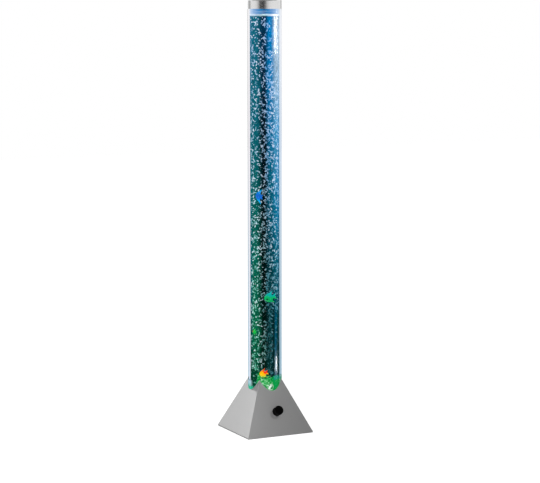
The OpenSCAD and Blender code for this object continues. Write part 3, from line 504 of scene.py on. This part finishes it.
finishes = {
    "silver_paint": {"colour": "b0b0b0", "roughness": 0.46, "grain": 0.0007, "tone": 0.1, "marks": 0.03,
                     "gloss": 0.35, "depth": 0.00004},
    "black_plastic": {"colour": "020202", "roughness": 0.5, "grain": 0.0006, "gloss": 0.06,
                      "depth": 0.00012},
    "grey_plastic": {"colour": "3a3b3e", "roughness": 0.5, "grain": 0.0007, "depth": 0.00012},
    "white_plastic": {"colour": "dddcd6", "roughness": 0.4, "grain": 0.0009},
    "brushed_aluminium": {"colour": "dcdcdc", "roughness": 0.15, "metallic": 1.0,
                          "brushed": 0.6, "stretch": (1, 1, 42), "grain": 0.012, "tone": 0.22,
                          "marks": 0.04, "depth": 0.00006},
    "black_rubber": {"colour": "18181a", "roughness": 0.75, "grain": 0.0008, "gloss": 0.3, "depth": 0.0002},
    "silicone": {"colour": "d8e2e2", "roughness": 0.35, "alpha": 0.75, "grain": 0.002},
    "steel": {"colour": "b9bbbf", "roughness": 0.3, "metallic": 1.0, "grain": 0.0005, "tone": 0.2},
    "magnet": {"colour": "2c2c2f", "roughness": 0.6, "metallic": 0.3, "grain": 0.0004, "tone": 0.3},
    "board_white": {"colour": "e6e8e6", "roughness": 0.3, "grain": 0.0012, "tone": 0.05},
    "board_green": {"colour": "0f5a34", "roughness": 0.3, "grain": 0.0011, "tone": 0.25},
    "led_lens": {"colour": "e8dc9c", "roughness": 0.2, "coat": 0.5, "grain": 0.0006},
    "lead_red": {"colour": "9a1414", "roughness": 0.5, "grain": 0.0009},
}
fishPaint = {  # shared by the four fish
    "wobbleScale": 130.0, "wobble": 0.35, "spotCore": 0.55, "scales": 520.0, "scaleStretch": (1, 1, 1.4),
}
# lit: how strongly each fish glows in its own colours, a painted light
fishLooks = {
    "fish_blue": {"node": "fish_blue", "lit": 0.9,
                  "spot": "0b3a8c", "spotAt": (-0.0136, 0.0228, 0.661), "spotRadius": 0.003,
                  "stops": [(0.1, "18b4f0"), (0.38, "1a6fd4"), (0.6, "1560c4"), (0.9, "14a8ee")]},
    "fish_teal": {"node": "fish_teal", "lit": 0.85,
                  "spot": "06302c", "spotAt": (-0.0015, -0.0174, 0.373), "spotRadius": 0.003,
                  "stops": [(0.1, "12a85a"), (0.42, "10b468"), (0.62, "10b0a4"), (0.9, "18c4c0")]},
    "fish_green": {"node": "fish_green", "lit": 0.85,
                   "spot": "e86020", "spotAt": (-0.0335, 0.0029, 0.282), "spotRadius": 0.004,
                   "stops": [(0.1, "149040"), (0.5, "1cb044"), (0.9, "44c458")]},
    "fish_orange": {"node": "fish_orange", "lit": 0.95,
                    "spot": "f03018", "spotAt": (-0.0103, -0.0252, 0.171), "spotRadius": 0.009,
                    "stops": [(0.05, "9cc83c"), (0.25, "f0b818"), (0.55, "ffb408"), (0.8, "fb6a10"),
                              (0.95, "f03c14")]},
}
acrylicLook = {
    "colour": "f8fbfd", "ior": 1.01,  # low, so that what is in the tube shows in its own place
    "coat": 0.03, "glow": 0.45,
    "rimFrom": 0.47, "rimTo": 0.54, "passing": "f4f8fa", "rimPassing": "606468",
}
stoneLook = {"cells": 900.0, "grit": "c8c8be", "pore": "6a6a64"}
coreLook = {
    "bands": 260.0, "axis": "Y", "groove": "2a2b2e", "colour": "84868a", "roughness": 0.45, "metallic": 0.8,
}
windingLook = {
    "bands": 420.0, "axis": "Z", "groove": "5a2408", "colour": "c0682c", "roughness": 0.3, "metallic": 0.6,
}

materials = {name: finishMaterial(name, look) for name, look in finishes.items()}
materials.update({name: fishMaterial(name, look) for name, look in fishLooks.items()})
materials["clear_acrylic"] = acrylicMaterial("clear_acrylic", acrylicLook)
materials["air_stone_grit"] = airStoneMaterial("air_stone_grit", stoneLook)
materials["core_steel"] = layeredMaterial("core_steel", coreLook)
materials["winding"] = layeredMaterial("winding", windingLook)
for part in frame["record"]["subparts"]:
    for slot in frame["nodes"][part["node"]].material_slots:
        slot.material = materials[part["material_slot"]]
print("finishes on the solids")


# Pieces in the tube

def finishPiece(mesh, name, material):
    bmesh.ops.recalc_face_normals(mesh, faces=mesh.faces)
    data = bpy.data.meshes.new(name)
    mesh.to_mesh(data)
    mesh.free()
    data.materials.append(material)
    data.polygons.foreach_set("use_smooth", [True] * len(data.polygons))
    piece = bpy.data.objects.new(name, data)
    bpy.context.scene.collection.objects.link(piece)
    return piece


def spinProfile(mesh, profile, sides):  # turns a closed profile of (radius, height) round the tube's axis
    corners = [mesh.verts.new((radius, 0.0, height)) for radius, height in profile]
    edges = [mesh.edges.new((a, b)) for a, b in zip(corners, corners[1:] + corners[:1])]
    bmesh.ops.spin(mesh, geom=corners + edges, cent=(0, 0, 0), axis=(0, 0, 1), angle=2 * math.pi,
                   steps=sides, use_merge=True)
    bmesh.ops.remove_doubles(mesh, verts=mesh.verts, dist=1e-7)


waterColumn = {"radius": waterLook["radius"], "low": 0.1082, "top": 1.1597, "sides": 96, "rim": 0.0012}


def waterMaterial():
    material, tree, place, surface = newMaterial("lit_water")
    lit = useGroup(tree, waterGroup, {"Place": place})
    behind = addNode(tree, "NewGeometry").outputs["Backfacing"]
    # painted light: the far side of the water glows with the painted backdrop, the front with the painted
    # glow at the foot
    backdrop = addNode(tree, "Emission", {"Color": lit["Backdrop"], "Strength": 1.0}).outputs["Emission"]
    glow = addNode(tree, "Emission", {"Color": lit["Glow"], "Strength": 1.0}).outputs["Emission"]
    clear = addNode(tree, "BsdfTransparent").outputs["BSDF"]
    front = addNode(tree, "MixShader", {0: lit["Glow Share"], 1: clear, 2: glow}).outputs["Shader"]
    both = addNode(tree, "MixShader", {0: behind, 1: front, 2: backdrop}).outputs["Shader"]
    setInput(tree, surface, both)
    return material


def makeWater(size, material):
    mesh = bmesh.new()
    bmesh.ops.create_cone(mesh, cap_ends=True, segments=size["sides"], radius1=size["radius"],
                          radius2=size["radius"], depth=size["top"] - size["low"])
    bmesh.ops.translate(mesh, verts=mesh.verts, vec=(0, 0, (size["top"] + size["low"]) / 2))
    rim = [edge for edge in mesh.edges if all(vert.co.z > size["top"] - 1e-5 for vert in edge.verts)]
    bmesh.ops.bevel(mesh, geom=rim, offset=size["rim"], segments=4, affect="EDGES", profile=0.5, material=-1)
    return finishPiece(mesh, "water_column", material)


water = makeWater(waterColumn, waterMaterial())
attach(water, "lamp")
print("water in the tube")

bubbleSettings = {
    "seed": 11,
    "shapes": 14,
    "wallCount": 1800, "wallSize": (0.75, 1.1), "wallRadius": 0.0378, "wallSpread": 0.0003,
    "dotCount": 500, "dotSize": (0.3, 0.6),
    "innerCount": 460, "innerSize": (0.8, 1.3), "innerRadius": 0.032,
    "low": 0.134, "high": 1.152,
    "levels": (0.45, 0.8, 1.2),  # tops of the three pieces
    "width": (0.0015, 0.0021), "length": (0.0022, 0.0052), "thickness": 0.0013,
    "bend": 90.0,
    # left and right bound across the view, bottom, top, and the share of bubbles left out
    "calm": [(0.021, 0.04, 0.1, 0.34, 0.97), (0.012, 0.04, 0.1, 0.158, 1.0),
             (-0.04, -0.024, 0.1, 0.175, 0.9), (0.004, 0.026, 1.07, 1.2, 0.6),
             (0.022, 0.04, 1.0, 1.2, 0.85), (-0.04, -0.034, 0.1, 1.2, 0.35)],
    # each fish's lane: x and y of its middle, half its width across the view, half its depth
    "lanes": [((-0.0100, 0.0145), 0.0125, 0.0135), ((0.0086, -0.0174), 0.021, 0.0065),
              ((-0.0331, -0.0023), 0.0085, 0.0115), ((-0.0144, -0.0223), 0.0155, 0.0075)],
    "laneSpace": 0.0035,
    # nothing in front of a fish at rest: across, height, half width, half height
    "clearings": [(-0.0154, 0.659, 0.015, 0.024), (0.0160, 0.380, 0.021, 0.019),
                  (-0.0287, 0.282, 0.010, 0.012), (-0.0023, 0.167, 0.016, 0.016)],
}


def bubbleShapes(settings, draw):  # short worms and drops, flattened against the wall
    shapes = []
    for index in range(settings["shapes"]):
        mesh = bmesh.new()
        bmesh.ops.create_uvsphere(mesh, u_segments=6, v_segments=4, radius=1.0)
        length = draw.uniform(*settings["length"])
        width = draw.uniform(*settings["width"])
        bmesh.ops.scale(mesh, verts=mesh.verts, vec=(length, width, settings["thickness"]))
        curl = draw.uniform(-1, 1) * settings["bend"]
        for vert in mesh.verts:
            vert.co.y += curl * vert.co.x ** 2
        shape = bpy.data.meshes.new(f"bubble_shape_{index}")
        mesh.to_mesh(shape)
        mesh.free()
        shapes.append(shape)
    return shapes


def inLane(x, y, settings):
    place = Vector((x, y, 0.0))
    across, back = place.dot(acrossView), place.dot(backView)
    for (laneX, laneY), halfAcross, halfBack in settings["lanes"]:
        lane = Vector((laneX, laneY, 0.0))
        if (abs(across - lane.dot(acrossView)) < halfAcross + settings["laneSpace"]
                and abs(back - lane.dot(backView)) < halfBack + settings["laneSpace"]):
            return True
    return False


def inClearing(x, y, z, settings):
    place = Vector((x, y, 0.0))
    if place.dot(backView) > 0:
        return False
    across = place.dot(acrossView)
    return any(((across - at) / halfWide) ** 2 + ((z - height) / halfTall) ** 2 < 1
               for at, height, halfWide, halfTall in settings["clearings"])


def onWall(angle, radius, z, lean):  # faces out of the tube, turned by lean
    facing = Vector((math.cos(angle), math.sin(angle), 0.0)).to_track_quat("Z", "Y").to_matrix().to_4x4()
    place = Matrix.Translation((radius * math.cos(angle), radius * math.sin(angle), z))
    return place @ facing @ Matrix.Rotation(lean, 4, "Z")


def stampShape(mesh, shape, matrix):
    copy = shape.copy()
    copy.transform(matrix)
    mesh.from_mesh(copy)
    bpy.data.meshes.remove(copy)


def makeBubbles(settings, draw, shapes, material):
    pieces = [bmesh.new() for _ in settings["levels"]]
    low, high = settings["low"], settings["high"]

    def stamp(angle, radius, z, size):
        x, y = radius * math.cos(angle), radius * math.sin(angle)
        if inClearing(x, y, z, settings):
            return
        across = Vector((x, y, 0.0)).dot(acrossView)
        if any(left < across < right and bottom < z < top and draw.random() < share
               for left, right, bottom, top, share in settings["calm"]):
            return
        matrix = onWall(angle, radius, z, draw.uniform(0, 2 * math.pi)) @ Matrix.Scale(size, 4)
        level = next(i for i, top in enumerate(settings["levels"]) if z <= top)
        stampShape(pieces[level], draw.choice(shapes), matrix)

    for _ in range(settings["wallCount"]):
        angle = draw.uniform(0, 2 * math.pi)
        radius = settings["wallRadius"] + draw.uniform(-1, 1) * settings["wallSpread"]
        stamp(angle, radius, draw.uniform(low, high), draw.uniform(*settings["wallSize"]))
    for _ in range(settings["dotCount"]):
        angle = draw.uniform(0, 2 * math.pi)
        stamp(angle, settings["wallRadius"], draw.uniform(low, high), draw.uniform(*settings["dotSize"]))
    placed = 0
    while placed < settings["innerCount"]:
        angle, radius = draw.uniform(0, 2 * math.pi), settings["innerRadius"] * math.sqrt(draw.random())
        if inLane(radius * math.cos(angle), radius * math.sin(angle), settings):
            continue
        stamp(angle, radius, draw.uniform(low, high), draw.uniform(*settings["innerSize"]))
        placed += 1
    made = []
    for index, mesh in enumerate(pieces):
        piece = finishPiece(mesh, f"bubbles_{index + 1}", material)
        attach(piece, "lamp")
        made.append(piece)
    return made


def bubbleMaterial(look):  # painted light: lit skins that glow, with the water's own colours at their rims
    material, tree, place, surface = newMaterial("lit_bubbles")
    lit = useGroup(tree, waterGroup, {"Place": place})
    facing = addNode(tree, "LayerWeight", {"Blend": look["facing"]}).outputs["Facing"]
    skin = addNode(tree, "BsdfPrincipled", {
        "Base Color": tint(look["skin"]), "Roughness": 0.15,
        "Emission Color": lit["Bubble"], "Emission Strength": 1.0}).outputs["BSDF"]
    through = addNode(tree, "Emission", {
        "Color": lit["Backdrop"], "Strength": look["throughStrength"]}).outputs["Emission"]
    share = times(tree, facing, look["facingShare"])
    setInput(tree, surface, addNode(tree, "MixShader", {0: share, 1: skin, 2: through}).outputs["Shader"])
    return material


draw = random.Random(bubbleSettings["seed"])
shapes = bubbleShapes(bubbleSettings, draw)
bubbles = makeBubbles(bubbleSettings, draw, shapes, bubbleMaterial(bubbleLook))
print("bubbles:", sum(len(piece.data.polygons) for piece in bubbles), "faces")

surfaceFoam = {
    "radius": 0.0391, "thick": 0.0011, "tall": 0.0027, "height": 1.1592, "sides": 120, "corners": 10,
    "waves": [(0.0005, 9, 0.0), (0.0003, 23, 1.0)],  # height, count round the tube, turn
    "stops": [(0.0, "d4e8fa"), (0.25, "b0c4d8"), (0.5, "a4c8c8"), (0.66, "b4cce0"), (0.8, "ece9f0"),
              (1.0, "f2eef8")],
}
wetFilm = {
    "inner": waterLook["radius"], "outer": 0.0407, "low": 1.1622, "high": 1.1855, "sides": 96,
    "stops": [(0.0, "005c9c"), (0.22, "147cb8"), (0.45, "488ccc"), (0.72, "84acdc"), (0.9, "bcd4f2"),
              (1.0, "e4ecfa")],  # from the middle to both edges
    "shift": 0.02, "streakScale": (26, 26, 300), "streakFrom": (0.42, 0.66), "streak": "e8f4ff",
    "streakShare": 0.2,
}


def foamMaterial(name, stops, strength):  # pale froth glowing as painted light, its colour given from the left edge to the right
    material, tree, place, surface = newMaterial(name)
    share = times(tree, calc(tree, "ADD", sideways(tree, place), 1.0), 0.5)
    colour = colourRamp(tree, share, tints(stops))
    grain = useGroup(tree, grainGroup, {
        "Place": place, "Colour": colour, "Grain Size": 0.0024, "Grain Tone": 0.5,
        "Handling Tone": 0.2, "Roughness": 0.4, "Roughness Spread": 0.1})
    shader = addNode(tree, "BsdfPrincipled", {
        "Base Color": tint("606870"), "Roughness": grain["Roughness"], "Emission Color": grain["Colour"],
        "Emission Strength": strength})
    setInput(tree, surface, shader.outputs["BSDF"])
    return material


def makeFoam(size, material):
    mesh = bmesh.new()
    turns = [2 * math.pi * index / size["corners"] for index in range(size["corners"])]
    spinProfile(mesh, [(size["radius"] + size["thick"] * math.cos(turn),
                        size["height"] + size["tall"] * math.sin(turn)) for turn in turns], size["sides"])
    for vert in mesh.verts:
        angle = math.atan2(vert.co.y, vert.co.x)
        vert.co.z += sum(tall * math.sin(count * angle + turn) for tall, count, turn in size["waves"])
    return finishPiece(mesh, "surface_foam", material)


def filmMaterial(look):  # painted light: it glows deep blue in the middle and pale at the edges, with fine level streaks
    material, tree, place, surface = newMaterial("wet_film")
    streaks = noise(tree, stretched(tree, place, look["streakScale"]), 1.0, 3.0, 0.6)
    side = calc(tree, "ABSOLUTE", calc(tree, "ADD", sideways(tree, place), look["shift"]))
    colour = colourRamp(tree, side, tints(look["stops"]))
    bright = mixColours(tree, look["streakShare"], colour, tint(look["streak"]))
    colour = blend(tree, streaks, look["streakFrom"], colour, bright)
    emission = addNode(tree, "Emission", {"Color": colour, "Strength": 1.0}).outputs["Emission"]
    showThroughShadows(tree, emission, surface)
    return material


def makeFilm(size, material):
    mesh = bmesh.new()
    spinProfile(mesh, [(size["inner"], size["low"]), (size["outer"], size["low"]),
                       (size["outer"], size["high"]), (size["inner"], size["high"])], size["sides"])
    return finishPiece(mesh, "wet_film", material)


foam = makeFoam(surfaceFoam, foamMaterial("surface_foam", surfaceFoam["stops"], 0.85))
film = makeFilm(wetFilm, filmMaterial(wetFilm))
for piece in (foam, film):
    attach(piece, "lamp")
print("foam and wet wall at the top of the water")

# painted light: green glowing bubbles at the foot of the tube
footGlow = {
    "seed": 5, "count": 150,
    "radius": 0.0380, "from": math.radians(-150), "to": math.radians(-94),
    "low": 0.1195, "high": 0.156, "sideDrop": 0.012, "crowdRise": 0.008,
    "size": (0.5, 1.0),
    "stops": [(0.3, "70c898"), (0.5, "b8ecc8"), (0.7, "d8f8dc")],
}


def makeFootGlow(settings, shapes, material):  # most lie low, and they reach highest in the middle
    draw = random.Random(settings["seed"])
    mesh = bmesh.new()
    for _ in range(settings["count"]):
        share = draw.random()
        angle = settings["from"] + (settings["to"] - settings["from"]) * share
        top = settings["high"] - settings["sideDrop"] * abs(2 * share - 1)
        z = draw.triangular(settings["low"], top, settings["low"] + settings["crowdRise"])
        place = onWall(angle, settings["radius"], z, draw.uniform(0, 2 * math.pi))
        shape = draw.choice(shapes)
        stampShape(mesh, shape, place @ Matrix.Scale(draw.uniform(*settings["size"]), 4))
    return finishPiece(mesh, "foot_bubbles", material)


footBubbles = makeFootGlow(footGlow, shapes, foamMaterial("foot_bubbles", footGlow["stops"], 0.9))
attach(footBubbles, "lamp")
print("bubbles at the foot of the tube")


# Floor, backdrop and lamps

stageLook = {
    "floorSize": 9.0, "floor": "ececec", "floorDark": "e8e8e8", "floorMottle": 14.0,
    "ownLight": 0.92, "ambient": 0.15,
    # a dark flag that metal mirrors: its direction, and tones from its middle outwards
    "flagAt": (-0.6500, -0.7599, 0.0),
    "flag": [(0.0, 0.02), (0.03, 0.09), (0.066, 0.26), (0.118, 0.52), (0.184, 0.74), (0.265, 0.86),
             (0.36, 0.95), (0.6, 1.0)],
    "ceiling": "505050", "ceilingSide": (-0.44, -0.89, 0.0), "ceilingLean": 0.35, "ceilingFrom": (0.34, 0.52),
    "screens": [((-0.4646, 0.8856, 0.0), "c0c0c0"), ((0.6603, 0.7512, 0.0), "606060")],
    "screenFrom": (0.93, 0.99),
}


def seenShare(tree):  # 1 for what the camera, a mirror or clear plastic shows
    path = addNode(tree, "LightPath").outputs
    return calc(tree, "MAXIMUM", calc(tree, "MAXIMUM", path["Is Camera Ray"], path["Is Glossy Ray"]),
                path["Is Transmission Ray"])


def makeFloor(look):
    material, tree, place, surface = newMaterial("pale_floor")
    mottle = noise(tree, place, look["floorMottle"], 3.0)
    colour = mixColours(tree, mottle, tint(look["floorDark"]), tint(look["floor"]))
    matt = addNode(tree, "BsdfDiffuse", {"Color": colour}).outputs["BSDF"]
    strength = times(tree, seenShare(tree), look["ownLight"])
    light = addNode(tree, "Emission", {"Color": tint("ffffff"), "Strength": strength}).outputs["Emission"]
    setInput(tree, surface, addNode(tree, "AddShader", {0: matt, 1: light}).outputs["Shader"])
    mesh = bmesh.new()
    bmesh.ops.create_grid(mesh, x_segments=4, y_segments=4, size=look["floorSize"])
    data = bpy.data.meshes.new("floor")
    mesh.to_mesh(data)
    mesh.free()
    data.materials.append(material)
    floor = bpy.data.objects.new("floor", data)
    bpy.context.scene.collection.objects.link(floor)


def makeWorld(look):  # white, but darker in parts for what mirrors it
    world = bpy.data.worlds.new("studio")
    bpy.context.scene.world = world
    world.use_nodes = True
    tree = world.node_tree
    tree.nodes.clear()
    output = addNode(tree, "OutputWorld")
    toward = addNode(tree, "VectorMath", {0: addNode(tree, "TexCoord").outputs["Generated"]},
                     operation="NORMALIZE").outputs["Vector"]
    away = calc(tree, "SUBTRACT", 1.0, vectorNode(tree, "DOT_PRODUCT", toward, look["flagAt"]), clamp=True)
    mirrored = colourRamp(tree, away, [(at, (tone, tone, tone, 1)) for at, tone in look["flag"]])
    for at, code in look["screens"]:
        near = vectorNode(tree, "DOT_PRODUCT", toward, at)
        mirrored = blend(tree, near, look["screenFrom"], mirrored, tint(code))
    front = times(tree, vectorNode(tree, "DOT_PRODUCT", toward, look["ceilingSide"]), look["ceilingLean"])
    above = fade(tree, calc(tree, "ADD", heightOf(tree, toward), front), *look["ceilingFrom"])
    mirrored = mixColours(tree, above, mirrored, tint(look["ceiling"]), "MULTIPLY")
    path = addNode(tree, "LightPath").outputs
    reflected = calc(tree, "SUBTRACT", path["Is Glossy Ray"], path["Is Transmission Ray"], clamp=True)
    colour = mixColours(tree, reflected, tint("ffffff"), mirrored)
    strength = calc(tree, "ADD", look["ambient"], times(tree, seenShare(tree), 1.0 - look["ambient"]))
    background = addNode(tree, "Background", {"Color": colour, "Strength": strength})
    setInput(tree, output.inputs["Surface"], background.outputs["Background"])


lampSettings = {
    "left": {"place": (-0.5, 0.3, 0.2), "aim": (-0.05, 0, 0.05), "size": (0.12, 0.12), "power": 0.35},
    "ridge": {"place": (-0.22, -0.22, 0.2), "aim": (-0.05, -0.05, 0.08), "size": (0.06, 0.06),
              "power": 0.25},
    "right": {"place": (1.0, -1.8, 2.0), "aim": (0, 0, 0.08), "size": (0.3, 0.3), "power": 14.5},
}
rearLamp = {"place": (-0.0475, 1.9, 3.75), "aim": (-0.0475, 0, 0.1), "size": (0.08, 0.08), "power": 305.0}


def makeLamp(name, lamp):
    data = bpy.data.lights.new(name, "AREA")
    data.shape = "RECTANGLE"
    data.size, data.size_y = lamp["size"]
    data.energy = lamp["power"]
    light = bpy.data.objects.new(name, data)
    light.location = lamp["place"]
    light.rotation_mode = "QUATERNION"
    light.rotation_quaternion = (Vector(lamp["aim"]) - light.location).to_track_quat("-Z", "Y")
    light.visible_camera = light.visible_transmission = False
    bpy.context.scene.collection.objects.link(light)
    return light


def lightOnly(light, node):
    lit = bpy.data.collections.new(light.name + "_lights")
    lit.objects.link(frame["nodes"][node])
    light.light_linking.receiver_collection = lit


highlightSettings = {  # soft boxes that show only as reflections in the tube
    "soft_box_high": {"place": (0.555, -0.43, 1.0975), "aim": (0, 0, 1.0975), "size": (0.30, 0.115),
                      "power": 50.0},
    "soft_box_low": {"place": (0.61, -0.342, 0.064), "aim": (0, 0, 0.064), "size": (0.08, 0.038),
                     "power": 14.0},
}


makeFloor(stageLook)
makeWorld(stageLook)
for name, lamp in lampSettings.items():
    makeLamp(name, lamp).visible_glossy = False
ridgeBlockers = bpy.data.collections.new("ridge_blockers")  # only the base shades this lamp
ridgeBlockers.objects.link(frame["nodes"]["base_shell"])
bpy.data.objects["ridge"].light_linking.blocker_collection = ridgeBlockers
rear = makeLamp("rear", rearLamp)
rear.visible_glossy = False
lightOnly(rear, "base_shell")
for name, box in highlightSettings.items():
    softBox = makeLamp(name, box)
    softBox.visible_diffuse = False
    lightOnly(softBox, "acrylic_tube")
print("stage lit")
